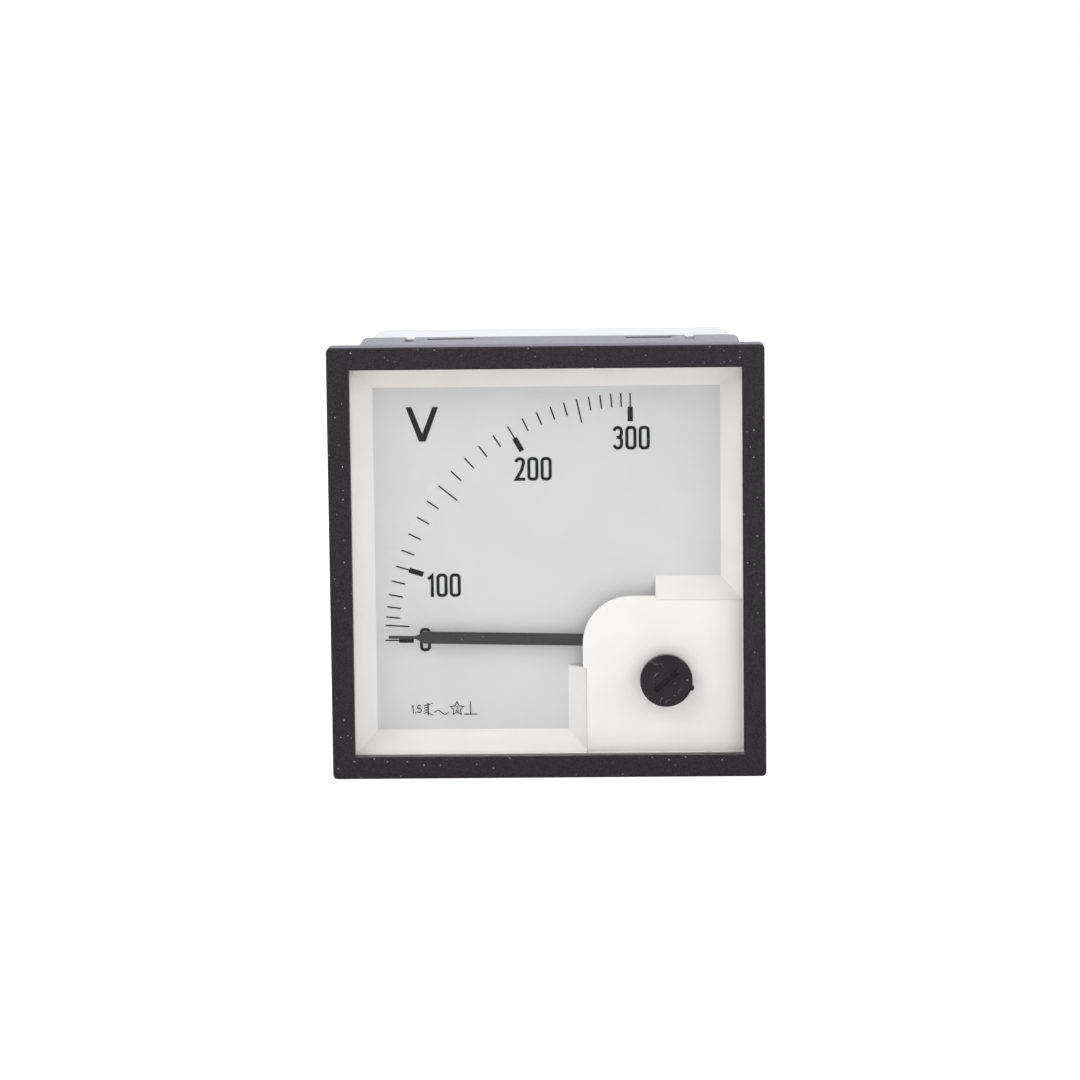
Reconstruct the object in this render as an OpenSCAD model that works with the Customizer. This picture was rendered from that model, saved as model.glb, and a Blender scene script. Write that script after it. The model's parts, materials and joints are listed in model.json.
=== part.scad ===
// Moving-iron panel voltmeter with a 72 mm square front, for a 68 mm square panel cut-out.
// Origin: centre of the bezel's back face, which seats on the panel.
// Seen from the front, X runs right and Z up. Y runs into the panel.

/* [Bezel] */
// Outside width and height of the front
bezel_w = 72; // [71:0.5:76]
// Width of the bezel's visible border
bezel_border = 3.7; // [3.2:0.1:4.2]
// How far the front stands before the panel
bezel_d = 5; // [4.8:0.1:6.5]
// Thickness of the lip over the window glass
bezel_lip = 1.2; // [0.9:0.1:1.5]
// Side wall of the bezel round the glass
bezel_wall = 1.6; // [1.3:0.1:1.7]
// Radius of the bezel's corners
bezel_corner = 0.8; // [0.4:0.1:1.4]
// Bevel along the bezel's front edges
bezel_bevel = 0.25; // [0.1:0.05:0.4]
// How far the case is set in from the bezel's edge
case_set_in = 3; // [2.8:0.1:3.1]
// Length of the snap ribs that hold the bezel on the case
snap_l = 8; // [4:1:12]

/* [Window and dial] */
// Thickness of the window glass
glass_t = 1.5; // [1:0.1:1.8]
// Depth of the dial behind the bezel's front face
dial_recess = 6.3; // [6.1:0.1:7]
// Thickness of the dial plate
dial_t = 0.8; // [0.5:0.1:1]
// Width of the mask's sloping border
mask_slope_w = 3.55; // [3:0.05:4]
// Thickness of the mask's outer flange
mask_t = 0.8; // [0.6:0.1:1]
// Thickness of the mask's sloping walls, measured along the dial
mask_wall = 1.2; // [0.9:0.1:1.4]

/* [Pivot and scale] */
// Pointer pivot, in from the right edge of the open dial
pivot_right = 14.85; // [14.5:0.05:15.5]
// Pointer pivot, up from the bottom edge of the open dial
pivot_bottom = 15.15; // [15:0.05:15.5]
// Gap between the scale and the left edge of the open dial
scale_margin = 1.5; // [1.2:0.1:4]
// Length of a scale mark
mark_l = 2.3; // [1.5:0.1:3]
// Length of a mark at an odd multiple of 50
long_mark_l = 4; // [3:0.1:5]
// Length of the thick foot of a numbered mark
bold_mark_l = 2.45; // [1.5:0.05:3]
// Width of a thin mark
mark_w = 0.17; // [0.1:0.01:0.3]
// Width of the thick foot of a numbered mark
bold_mark_w = 0.82; // [0.5:0.01:1.2]
// Thickness of the printed marks
mark_t = 0.05; // [0.03:0.01:0.08]
// Full scale value
scale_max = 300; // [300:100:500]
// Step between marks
scale_step = 10; // [10:10:50]
// First mark above zero
scale_start = 50; // [50:50:100]

/* [Movement cover] */
// Reach of the cover to the left of the pivot
cover_left = 8.2; // [8:0.1:8.6]
// Reach of the cover above the pivot
cover_top = 7.6; // [7.4:0.1:8]
// Radius of the cover's rounded corner
cover_corner = 8; // [6:0.1:8.4]
// Thickness of the cover
cover_t = 0.9; // [0.7:0.05:0.95]
// Radius of the cover's soft right and bottom edges
cover_edge_r = 0.8; // [0.5:0.05:0.85]
// How far the cover steps back beside the mask's arms
cover_step = 0.6; // [0.3:0.05:0.8]
// Start of the mask's upper arm, right of the pivot
arm_start_x = 3.95; // [3:0.05:5]
// Edge of the mask's upper arm, above the pivot
arm_edge_z = 10.5; // [10:0.1:11]
// Edge of the mask's lower arm, left of the pivot
arm_edge_x = 10.7; // [10:0.1:11]
// Start of the mask's lower arm, below the pivot
arm_start_z = 4.4; // [3.5:0.1:5.5]

/* [Zero adjuster] */
// Adjuster screw, right of the pivot
adjuster_dx = 5.6; // [5.2:0.1:6]
// Adjuster screw, below the pivot
adjuster_dz = 6.15; // [5.8:0.05:6.5]
// Radius of the adjuster's head
adjuster_r = 4.35; // [3.8:0.05:4.5]
// How far the adjuster's head stands before the bezel
head_proud = 0.4; // [0:0.1:0.8]
// Radius of the adjuster's neck
neck_r = 2.5; // [2.2:0.1:2.8]
// Eccentric throw of the adjuster's pin
throw = 1; // [0.7:0.05:1.1]
// Radius of the eccentric pin
pin_r = 0.5; // [0.35:0.05:0.6]
// Length of the screwdriver slot
slot_l = 5; // [4:0.1:6]
// Width of the screwdriver slot
slot_w = 0.9; // [0.6:0.05:1.2]
// Angle of the screwdriver slot
slot_angle = 41; // [0:1:90]

/* [Pointer] */
// Distance of the pointer's tip from the outer end of the marks
tip_gap = 0.65; // [0.3:0.05:1.5]
// Length of the fine tip
tip_l = 4.5; // [3:0.1:6]
// Length of the taper behind the tip
taper_l = 1.4; // [1:0.1:3]
// Width of the pointer's bar
bar_w = 2; // [1.4:0.1:2.4]
// Width of the fine tip
tip_w = 0.47; // [0.3:0.01:0.7]
// Thickness of the pointer's sheet
pointer_t = 0.3; // [0.2:0.05:0.35]
// Height of the resting pointer above the zero mark, in degrees
rest_angle = 1.2; // [0:0.1:2]
// Lowest pointer position from rest, in degrees
swing_low = -3; // [-4:0.5:-2]
// Highest pointer position from rest, in degrees
swing_high = 91.5; // [90:0.5:93]

/* [Case] */
// Depth of the case behind the panel
case_d = 43; // [42:0.5:50]
// Wall of the case
case_wall = 1.6; // [1.3:0.1:1.7]
// Wall of the case round the dial
rim_wall = 1; // [0.8:0.1:1.2]
// Width of the ledge under the dial
ledge_w = 1.6; // [1.2:0.1:2]
// Depth of the ledge under the dial
ledge_d = 1.5; // [1:0.1:2.5]
// Depth of the terminal recess behind the rear wall
recess_d = 8; // [7:0.5:12]
// Thickness of the rear wall
rear_wall = 1.6; // [1.4:0.1:2]
// Radius of the case's long edges
case_corner = 1.2; // [0.8:0.1:2]
// Length of the clamp slots
clamp_slot_l = 8; // [6:0.5:9]
// Width of the clamp slots
clamp_slot_w = 1.5; // [1:0.1:2]
// Middle of a clamp slot, in from the case's side
clamp_slot_in = 15.8; // [15:0.1:16.5]
// Middle of a relief notch, in from the case's side
notch_in = 8.7; // [8:0.1:9.2]
// Length of the posts that carry the movement
case_post_l = 3.5; // [3:0.1:5]
// Width of the relief notches
notch_w = 1.5; // [1:0.1:2]
// Depth of the relief notches
notch_d = 7.5; // [5:0.1:8]

/* [Terminals and rear cover] */
// Terminals, left and right of the middle
terminal_x = 15; // [13:0.5:15]
// Terminals, above the middle
terminal_z = 12; // [10:0.5:13]
// Radius of the terminal thread
terminal_thread_r = 2; // [1.5:0.25:2.25]
// Radius of the terminal post
post_r = 3.4; // [3:0.1:3.8]
// Height of the terminal post above the rear wall
post_h = 3; // [2:0.1:3.5]
// Width of the square clamp plates
clamp_w = 9; // [8:0.5:10]
// Thickness of the clamp plates
clamp_t = 1.2; // [0.8:0.1:1.5]
// How far the rear cover is set in from the case at its sides
rear_set_in = 1; // [0.2:0.1:1.5]
// How far the rear cover is set in from the case above and below
rear_step = 0.2; // [0.1:0.1:1.5]
// Depth of the rear cover behind the case
rear_cover_d = 16; // [12:0.5:20]
// Wall of the rear cover
rear_cover_wall = 1.4; // [1.2:0.1:1.8]
// Thickness of the rear cover's back
rear_cover_back = 2.2; // [2:0.1:3]
// Radius of the rear cover's long edges
rear_cover_corner = 2.5; // [1.5:0.1:4]
// Width of the cable entries
entry_w = 12; // [8:0.5:14]
// Length of the cable entries
entry_l = 9; // [6:0.5:11]
// Radius of the screwdriver holes in the rear cover
driver_hole_r = 4.5; // [3.5:0.1:5.5]

/* [Movement] */
// Radius of the spindle
spindle_r = 0.4; // [0.3:0.05:0.5]
// Inner radius of the coil former
bore_r = 6; // [5.8:0.1:6.4]
// Wall of the coil former
former_t = 0.8; // [0.6:0.1:1]
// Gap between a frame pillar and the case's wall
pillar_gap = 0.6; // [0.5:0.1:0.8]
// Radius of the frame pillars
pillar_r = 2.2; // [1.9:0.1:2.2]
// Thickness of the frame plates
plate_t = 1.2; // [0.9:0.1:1.3]
// Radius of the screws that hold the frame
frame_screw_r = 1.2; // [1:0.05:1.3]
// Radius of the bearing screws
bearing_r = 1.25; // [1.1:0.05:1.4]
// Gap between a bridge post and the coil former
post_gap = 2.4; // [2.1:0.1:2.8]
// Radius of the bridge posts
bridge_post_r = 1.7; // [1.4:0.1:1.8]
// Thickness of the front bridge
bridge_t = 1; // [0.8:0.1:1]
// Radius of the hairspring
spring_r = 3.5; // [3:0.1:3.6]
// Turns of the hairspring
spring_turns = 4; // [3:1:5]
// Thickness of the hairspring's strip
spring_t = 0.12; // [0.1:0.01:0.16]
// Gap between the damping vane and the frame pillars
vane_gap = 0.6; // [0.5:0.1:1.5]
// Angle that the damping vane spans
vane_span = 104; // [100:1:110]
// Thickness of the damping vane
vane_t = 0.3; // [0.2:0.05:0.4]
// Radius of the series resistor
resistor_r = 2.6; // [2:0.1:3]
// Length of the series resistor
resistor_l = 18; // [14:0.5:20]

/* [Fits] */
// Clearance round pieces that are set into others
fit = 0.1; // [0.05:0.05:0.15]
// Running clearance at turning fits
run_fit = 0.05; // [0.03:0.01:0.08]

/* [Hidden] */
$fn = 48;
eps = 0.01;

// Depths, from the front to the back
front_y = -bezel_d;
glass_y = front_y + bezel_lip;
mask_y = glass_y + glass_t;
flange_y = mask_y + mask_t;
dial_y = front_y + dial_recess;
dial_back_y = dial_y + dial_t;
ledge_back_y = dial_back_y + ledge_d;
rear_wall_back_y = case_d - recess_d;
rear_wall_y = rear_wall_back_y - rear_wall;
rear_cover_y = case_d + rear_cover_d;

// Widths that follow from the front's
pocket_w = bezel_w - 2 * bezel_wall;
open_w = bezel_w - 2 * bezel_border;
window_w = open_w - 2 * mask_slope_w;
slope = mask_slope_w / (dial_y - mask_y);
case_w = bezel_w - 2 * case_set_in;
rim_w = case_w - 2 * rim_wall;
inner_w = case_w - 2 * case_wall;
rear_cover_w = case_w - 2 * rear_set_in;
rear_cover_h = case_w - 2 * rear_step;
clamp_slot_x = case_w / 2 - clamp_slot_in;
notch_x = case_w / 2 - notch_in;

// Pivot and scale
pivot_x = window_w / 2 - pivot_right;
pivot_z = pivot_bottom - window_w / 2;
scale_r = window_w / 2 + pivot_x - scale_margin;
tip_r = scale_r - tip_gap;

// Distances from the pivot inside the movement
pillar_reach = inner_w / 2 + pivot_z - pillar_r - pillar_gap;
vane_r = pillar_reach - pillar_r - vane_gap;
coil_r = pillar_reach - pillar_r - 1;
bridge_reach = bore_r + former_t + bridge_post_r + post_gap + fit;

// Movement cover
cover_y = mask_y + 0.2;
cover_back_y = cover_y + cover_t;
cover_gap = 0.3;
cover_right = open_w / 2 - cover_gap - pivot_x;
cover_bottom = -open_w / 2 + cover_gap - pivot_z;
arm_gap = 0.05;

// Adjuster and the regulator that its pin turns
adjuster_reach = norm([adjuster_dx, adjuster_dz]);
adjuster_angle = atan2(-adjuster_dz, adjuster_dx);
head_y = front_y - head_proud;
neck_end_y = cover_back_y + 0.45;
clip_t = 0.3;
pin_reach = adjuster_reach + throw;
fork_gap = 2 * (pin_r + 0.1);
fork_wall = 0.8;

// The movement's stack, from the pointer to the rear plate
pointer_y = cover_back_y + 0.45;
bridge_y = cover_back_y + 0.9;
bridge_back_y = bridge_y + bridge_t;
regulator_y = bridge_back_y + 0.1;
regulator_t = 0.5;
washer_t = 0.2;
boss_back_y = regulator_y + regulator_t + washer_t + 0.1;
boss_r = 2;
spring_y = boss_back_y + 0.25;
spring_h = 0.35;
stud_r = 0.45;
stud_reach = spring_r + stud_r;
hub_y = spring_y + spring_h + 0.25;
arm_y = hub_y + 0.45;
hub_back_y = arm_y + pointer_t + 0.6;
front_plate_y = hub_back_y + 1.4;
front_plate_back_y = front_plate_y + plate_t;
yoke_t = 1;
magnet_t = 1.9;
rear_plate_back_y = rear_wall_y - case_post_l;
rear_plate_y = rear_plate_back_y - plate_t;
magnet_y = rear_plate_y - yoke_t - magnet_t;
vane_y = magnet_y - 0.7 - vane_t;
yoke_y = vane_y - 0.5 - yoke_t;
former_back_y = yoke_y - 0.5;

// Bearings
nut_t = 0.7;
nut_r = 2.2;
jewel_r = 0.7;
jewel_t = 0.8;
front_bearing_y = cover_back_y + 0.1;
rear_bearing_y = rear_plate_y - 1;
rear_bearing_l = 4.6;
spindle_front_y = boss_back_y - 0.35;
spindle_back_y = rear_bearing_y + 0.35;
tip_cone = 0.8;

// Stops on the front plate that meet the pointer's tail at both ends of its swing
stop_r = 0.5;
stop_reach = bore_r + former_t + fit + stop_r + 0.5;
tail_l = stop_reach + 0.6;
tail_w = 1;

// Frame plates and small screws
disc_r = bridge_reach + bridge_post_r + 0.3;
bridge_screw_r = 0.9;
yoke_screw_reach = disc_r - 2.3;

// Angles round the pivot, counterclockwise from X
pillar_angles = [45, 165, 285];
bridge_angles = [0, 270];
magnet_angle = 315;
tail_angle = -rest_angle;
stop_offset = asin((stop_r + tail_w / 2 + 0.02) / stop_reach);
stop_angles = [tail_angle - swing_low + stop_offset, tail_angle - swing_high - stop_offset];
lead_angles = [125, 145];
moving_vane_angle = 100;
fixed_vane_angle = 200;

// The scale law of a moving-iron movement: crowded at the start, then nearly even
law_power = 2.5;
law_knee = 0.388;
full_sweep = 90;
function scale_angle(v) =
    let (u = pow(v / scale_max, law_power)) full_sweep * (1 + law_knee) * u / (law_knee + u);

// Half width of the mask's opening at depth y
function open_half(y) = window_w / 2 + (dial_y - y) * slope;

// ---- Shared shapes ----

// A flat shape drawn in X and Z, from depth y0 to y1
module slab(y0, y1) {
    translate([0, y1, 0]) rotate([90, 0, 0]) linear_extrude(y1 - y0) children();
}

// A round bar along Y
module rod(y0, y1, r) {
    translate([0, y0, 0]) rotate([-90, 0, 0]) cylinder(h = y1 - y0, r = r);
}

// A cone along Y
module taper(y0, y1, r0, r1) {
    translate([0, y0, 0]) rotate([-90, 0, 0]) cylinder(h = y1 - y0, r1 = r0, r2 = r1);
}

module tube(y0, y1, r, hole) {
    difference() {
        rod(y0, y1, r);
        rod(y0 - eps, y1 + eps, hole);
    }
}

module rounded(w, h, r) {
    square([w - 2 * r, h], center = true);
    square([w, h - 2 * r], center = true);
    for (x = [-1, 1], z = [-1, 1])
        translate([x * (w / 2 - r), z * (h / 2 - r)]) circle(r);
}

// A square funnel whose half width runs from a0 at depth y0 to a1 at depth y1
module funnel(y0, a0, y1, a1) {
    corners = [[-1, -1], [1, -1], [1, 1], [-1, 1]];
    polyhedron(
        points = concat([for (c = corners) [c[0] * a0, y0, c[1] * a0]],
                        [for (c = corners) [c[0] * a1, y1, c[1] * a1]]),
        faces = [[3, 2, 1, 0], [4, 5, 6, 7], [1, 5, 4, 0], [2, 6, 5, 1], [3, 7, 6, 2], [0, 4, 7, 3]]);
}

module at_pivot() {
    translate([pivot_x, 0, pivot_z]) children();
}

module at_adjuster() {
    translate([pivot_x + adjuster_dx, 0, pivot_z - adjuster_dz]) children();
}

// Turned to angle a round the local Y axis, and moved out by r
module polar(a, r = 0) {
    rotate([0, -a, 0]) translate([r, 0, 0]) children();
}

module at_terminals() {
    for (side = [-1, 1]) translate([side * terminal_x, 0, terminal_z]) children();
}

// The four sides of the square body, each turned to the top
module on_sides(turns = [0, 90, 180, 270]) {
    for (a = turns) rotate([0, a, 0]) children();
}

// A wire through the given points
module wire(path, r) {
    $fn = 10;
    for (i = [0 : len(path) - 2]) {
        run = path[i + 1] - path[i];
        translate(path[i])
            rotate([0, acos(run[2] / norm(run)), atan2(run[1], run[0])])
                cylinder(h = norm(run), r = r);
    }
    for (i = [1 : len(path) - 2]) translate(path[i]) sphere(r * 1.1);
}

// ---- Front ----

snap_y = flange_y + 0.5;
snap_t = 0.6;
snap_h = 0.3;

module front_bezel() {
    color("#2c2a2b") difference() {
        slab(front_y, 0) rounded(bezel_w, bezel_w, bezel_corner);
        slab(front_y - eps, glass_y + eps) square(open_w, center = true);
        slab(glass_y, eps) square(pocket_w, center = true);
        on_sides() {
            translate([0, front_y, bezel_w / 2]) rotate([45, 0, 0])
                cube([bezel_w + 1, bezel_bevel * sqrt(2), bezel_bevel * sqrt(2)], center = true);
            translate([-snap_l / 2 - fit, snap_y - fit, pocket_w / 2 - eps])
                cube([snap_l + 2 * fit, snap_t + 2 * fit, snap_h + fit]);
        }
    }
}

module window_glass() {
    color("#dfe8ea", 0.3) difference() {
        slab(glass_y, mask_y) square(pocket_w - 2 * fit, center = true);
        at_adjuster() rod(glass_y - eps, mask_y + eps, neck_r + fit);
    }
}

module mask_arms() {
    rise = dial_y - mask_y;
    upper = pivot_z + arm_edge_z;
    lower = pivot_x - arm_edge_x;
    // upper arm, above the movement cover
    translate([pivot_x + arm_start_x, 0, 0]) rotate([90, 0, 90]) linear_extrude(open_w / 2 - pivot_x)
        polygon([[dial_y, upper], [mask_y, upper - rise * slope],
                 [mask_y, upper - rise * slope - mask_wall], [dial_y, upper - mask_wall]]);
    // lower arm, to the left of the movement cover
    translate([0, 0, -open_w / 2]) linear_extrude(pivot_z - arm_start_z + open_w / 2)
        polygon([[lower, dial_y], [lower + rise * slope, mask_y],
                 [lower + rise * slope + mask_wall, mask_y], [lower + mask_wall, dial_y]]);
}

module dial_mask() {
    color("#e6e5e0") difference() {
        union() {
            difference() {
                union() {
                    slab(mask_y, flange_y) square(pocket_w - 2 * fit, center = true);
                    intersection() {
                        slab(flange_y - eps, dial_y) square(rim_w - 2 * fit, center = true);
                        funnel(mask_y, open_half(mask_y) + mask_wall,
                               dial_y, open_half(dial_y) + mask_wall);
                    }
                }
                funnel(mask_y - eps, open_half(mask_y - eps), dial_y + eps, open_half(dial_y + eps));
            }
            intersection() {
                mask_arms();
                funnel(mask_y, open_half(mask_y) + 0.1, dial_y, open_half(dial_y) + 0.1);
            }
        }
        slab(mask_y - eps, dial_y + eps) cover_outline(arm_gap);
    }
}

// Outline of the movement cover, grown by g all round
module cover_outline(g = 0) {
    left = pivot_x - cover_left - g;
    right = pivot_x + cover_right + g;
    top = pivot_z + cover_top + g;
    bottom = pivot_z + cover_bottom - g;
    r = cover_corner + g;
    difference() {
        translate([left, bottom]) square([right - left, top - bottom]);
        difference() {
            translate([left - 1, top - r]) square([r + 1, r + 1]);
            translate([left + r, top - r]) circle(r);
        }
        // steps beside the mask's arms
        translate([left - 1, bottom - 1])
            square([cover_step + 1, pivot_z - arm_start_z - g - bottom + 1]);
        translate([pivot_x + arm_start_x + g, top - cover_step])
            square([right - pivot_x - arm_start_x, cover_step + 1]);
    }
}

// What the soft edges take off the cover's right and bottom
module cover_edge_cuts() {
    corner_x = pivot_x + cover_right - cover_edge_r;
    corner_z = pivot_z + cover_bottom + cover_edge_r;
    translate([corner_x, cover_y + cover_edge_r, -bezel_w / 2]) difference() {
        translate([0, -cover_edge_r - 1, 0]) cube([cover_edge_r + 1, cover_edge_r + 1, bezel_w]);
        translate([0, 0, -1]) cylinder(h = bezel_w + 2, r = cover_edge_r);
    }
    translate([-bezel_w / 2, cover_y + cover_edge_r, corner_z]) difference() {
        translate([0, -cover_edge_r - 1, -cover_edge_r - 1]) cube([bezel_w, cover_edge_r + 1, cover_edge_r + 1]);
        translate([-1, 0, 0]) rotate([0, 90, 0]) cylinder(h = bezel_w + 2, r = cover_edge_r);
    }
}

module movement_cover() {
    color("#f1f0ee") difference() {
        union() {
            slab(cover_y, cover_back_y) cover_outline();
            // skirt down to the dial, open round the rounded corner where the pointer swings
            slab(cover_back_y - eps, dial_y) difference() {
                cover_outline();
                cover_outline(-cover_t);
                translate([pivot_x - 2 * cover_left, pivot_z - arm_start_z])
                    square([2 * cover_left + arm_start_x, 2 * cover_top]);
            }
        }
        at_adjuster() rod(cover_y - eps, cover_back_y + eps, neck_r + fit);
        cover_edge_cuts();
    }
}

module dial_plate() {
    passage = cover_top - 0.6;
    room = open_w / 2 - 4.3;
    color("#d6d7db") slab(dial_y, dial_back_y) difference() {
        square(rim_w - 2 * fit, center = true);
        translate([pivot_x, pivot_z]) circle(passage);
        translate([pivot_x - passage, -room]) square([room - pivot_x + passage, pivot_z + room]);
        translate([pivot_x, -room]) square([room - pivot_x, pivot_z + passage + room]);
    }
}

module scale_mark(v, start, length, w) {
    at_pivot() polar(180 - scale_angle(v)) translate([start - length, dial_y - mark_t, -w / 2])
        cube([length, mark_t, w]);
}

module scale_marks() {
    values = [0, for (v = [scale_start : scale_step : scale_max]) v];
    color("#1b1b1d") for (v = values) {
        numbered = v % 100 == 0;
        half = v % 100 == 50;
        scale_mark(v, scale_r, half ? long_mark_l : mark_l, mark_w);
        if (numbered) scale_mark(v, scale_r - mark_l, bold_mark_l, bold_mark_w);
    }
}

// ---- Zero adjuster and regulator ----

module zero_adjuster() {
    edge = 0.2;
    rim = 0.3;
    rim_h = 0.12;
    color("#262427") at_adjuster() {
        difference() {
            union() {
                rod(head_y + edge, glass_y - run_fit, adjuster_r);
                taper(head_y, head_y + edge, adjuster_r - edge, adjuster_r);
                polar(-17, adjuster_r) rod(head_y + 0.35, glass_y - 0.2, 0.45);
                rod(glass_y - run_fit - eps, neck_end_y, neck_r);
                polar(slot_angle) slab(head_y - rim_h, head_y + eps)
                    square([slot_l + 2 * rim, slot_w + 2 * rim], center = true);
            }
            polar(slot_angle) slab(head_y - 1, head_y + 0.5) square([slot_l, slot_w], center = true);
            tube(cover_back_y, cover_back_y + clip_t, neck_r + 1, neck_r - 0.4);
        }
        polar(adjuster_angle, throw) rod(neck_end_y - 0.3, regulator_y + regulator_t + 0.3, pin_r);
    }
}

module adjuster_clip() {
    color("#b8bac0") at_adjuster() difference() {
        tube(cover_back_y + run_fit, cover_back_y + clip_t - run_fit, neck_r + 0.9, neck_r - 0.35);
        translate([-neck_r / 2, cover_back_y - 1, 0]) cube([neck_r, 2, neck_r + 2]);
    }
}

module regulator_arm() {
    reach = pin_reach + pin_r + 0.6;
    width = fork_gap + 2 * fork_wall;
    color("#c9a24a") at_pivot() {
        slab(regulator_y, regulator_y + regulator_t) rotate(adjuster_angle) difference() {
            union() {
                circle(boss_r + 1.2);
                translate([0, -width / 2]) square([reach, width]);
            }
            circle(boss_r + run_fit);
            translate([pin_reach - pin_r - 0.5, -fork_gap / 2]) square([reach, fork_gap]);
        }
        polar(adjuster_angle, stud_reach) rod(regulator_y, spring_y + spring_h, stud_r);
    }
}

module regulator_washer() {
    color("#b8bac0") at_pivot()
        tube(regulator_y + regulator_t, regulator_y + regulator_t + washer_t, boss_r + 0.9, boss_r + run_fit / 2);
}

// ---- Case and rear ----

case_post_r = 3;
head_r = 2.1;
head_t = 1.2;

module case_posts() {
    at_pivot() for (a = pillar_angles) polar(a, pillar_reach)
        rod(rear_plate_back_y, rear_wall_y + eps, min(case_post_r, inner_w / 2 + pivot_z + pillar_reach));
}

// Slots for the panel clamps and notches that free the wall beside them
module side_cuts() {
    on_sides() for (side = [-1, 1]) {
        translate([side * clamp_slot_x - clamp_slot_l / 2, case_d - 4.5, case_w / 2 - case_wall - 1])
            cube([clamp_slot_l, clamp_slot_w, case_wall + 2]);
        translate([side * notch_x - notch_w / 2, case_d - notch_d, case_w / 2 - case_wall - 1])
            cube([notch_w, notch_d + 1, case_wall + 2]);
    }
}

clip_x = resistor_l / 4;
resistor_y = rear_wall_y - resistor_r - 3.4;
resistor_z = terminal_z + clamp_w / 2 + resistor_r + 1.4;

// Forked ribs on the rear wall that hold the resistor
module resistor_clips() {
    rib = 1.5;
    for (side = [-1, 1]) translate([side * clip_x - rib / 2, 0, resistor_z]) difference() {
        translate([0, resistor_y - resistor_r / 2, -resistor_r - rib])
            cube([rib, rear_wall_y - resistor_y + resistor_r / 2 + eps, 2 * (resistor_r + rib)]);
        translate([-1, resistor_y, 0]) rotate([0, 90, 0]) cylinder(h = rib + 2, r = resistor_r + run_fit);
        translate([-1, resistor_y - 2 * resistor_r, -resistor_r * 0.8])
            cube([rib + 2, 2 * resistor_r, resistor_r * 1.6]);
    }
}

module case() {
    color("#29282a") difference() {
        union() {
            difference() {
                union() {
                    slab(flange_y, 0) square(pocket_w - 2 * fit, center = true);
                    slab(-eps, case_d) rounded(case_w, case_w, case_corner);
                    on_sides() translate([-snap_l / 2, snap_y, pocket_w / 2 - fit - eps])
                        cube([snap_l, snap_t, snap_h]);
                }
                slab(flange_y - eps, dial_back_y) square(rim_w, center = true);
                slab(dial_back_y - eps, ledge_back_y + eps) square(rim_w - 2 * ledge_w, center = true);
                slab(ledge_back_y, rear_wall_y) square(inner_w, center = true);
                slab(rear_wall_back_y, case_d + eps) square(inner_w, center = true);
            }
            case_posts();
            resistor_clips();
        }
        side_cuts();
        at_terminals() rod(rear_wall_y - eps, rear_wall_back_y + eps, post_r + run_fit);
        at_pivot() for (a = pillar_angles) polar(a, pillar_reach) {
            rod(rear_plate_back_y - eps, rear_wall_back_y + eps, frame_screw_r + fit);
            rod(rear_wall_back_y - head_t, rear_wall_back_y + eps, head_r + fit);
        }
    }
}

plug_d = 6.5;
latch_h = 0.9;

module rear_cover() {
    plug_w = inner_w - 4 * fit;
    color("#eeeef2", 0.9) difference() {
        union() {
            slab(case_d, rear_cover_y) rounded(rear_cover_w, rear_cover_h, rear_cover_corner);
            // plug that reaches into the recess behind the case
            slab(case_d - plug_d, case_d + eps) square(plug_w, center = true);
            on_sides([90, 270]) for (side = [-1, 1])
                translate([side * clamp_slot_x - clamp_slot_l / 2 + 2 * fit, case_d - 4.5 + fit, plug_w / 2 - eps])
                    cube([clamp_slot_l - 4 * fit, clamp_slot_w - 2 * fit, latch_h]);
        }
        slab(case_d - plug_d - eps, rear_cover_y - rear_cover_back)
            square(plug_w - 2 * rear_cover_wall, center = true);
        // open above and below, behind the clamp slots
        on_sides([0, 180]) for (side = [-1, 1])
            translate([side * clamp_slot_x - clamp_slot_l / 2 - 1, case_d - plug_d - 1, plug_w / 2 - 4])
                cube([clamp_slot_l + 2, plug_d + 1, 5]);
        // cable entries in the bottom
        for (side = [-1, 1])
            translate([side * terminal_x - entry_w / 2, case_d + 3, -rear_cover_h / 2 - 1])
                cube([entry_w, entry_l, rear_cover_wall + 5]);
        at_terminals() rod(rear_cover_y - rear_cover_back - 1, rear_cover_y + 1, driver_hole_r);
    }
}

tag_t = 0.5;
rivet_t = 0.6;
post_flange_t = 1.2;
thread_fit = 0.05;

module terminal_posts() {
    flange_front = rear_wall_y - post_flange_t;
    color("#c9a24a") at_terminals() difference() {
        union() {
            rod(flange_front, rear_wall_y, post_r + 0.9);
            rod(rear_wall_y - eps, rear_wall_back_y + post_h, post_r);
            rod(flange_front - tag_t - rivet_t / 2, flange_front + eps, 1.5);
            rod(flange_front - tag_t - rivet_t, flange_front - tag_t, 2);
        }
        rod(flange_front + 0.4, rear_wall_back_y + post_h + eps, terminal_thread_r);
    }
}

tag_hole_z = 5.1;

module solder_tags() {
    front = rear_wall_y - post_flange_t - tag_t;
    color("#c7c4b8") at_terminals() slab(front, front + tag_t) difference() {
        union() {
            circle(3.1);
            translate([-1.2, 0]) square([2.4, tag_hole_z + 1.1]);
        }
        circle(1.5 + run_fit);
        translate([0, tag_hole_z]) circle(0.6);
    }
}

module terminal_clamps() {
    start = rear_wall_back_y + post_h;
    color("#c7c9cc") at_terminals() difference() {
        union() {
            slab(start, start + clamp_t) rounded(clamp_w, clamp_w, 0.8);
            // turned-down sides that keep a wire under the plate
            for (side = [-1, 1])
                translate([side * (clamp_w / 2 - 0.4) - 0.4, start - 1.2, -clamp_w / 2 + 1])
                    cube([0.8, 1.2 + eps, clamp_w - 2]);
        }
        rod(start - 1, start + clamp_t + 1, terminal_thread_r + fit);
    }
}

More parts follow.
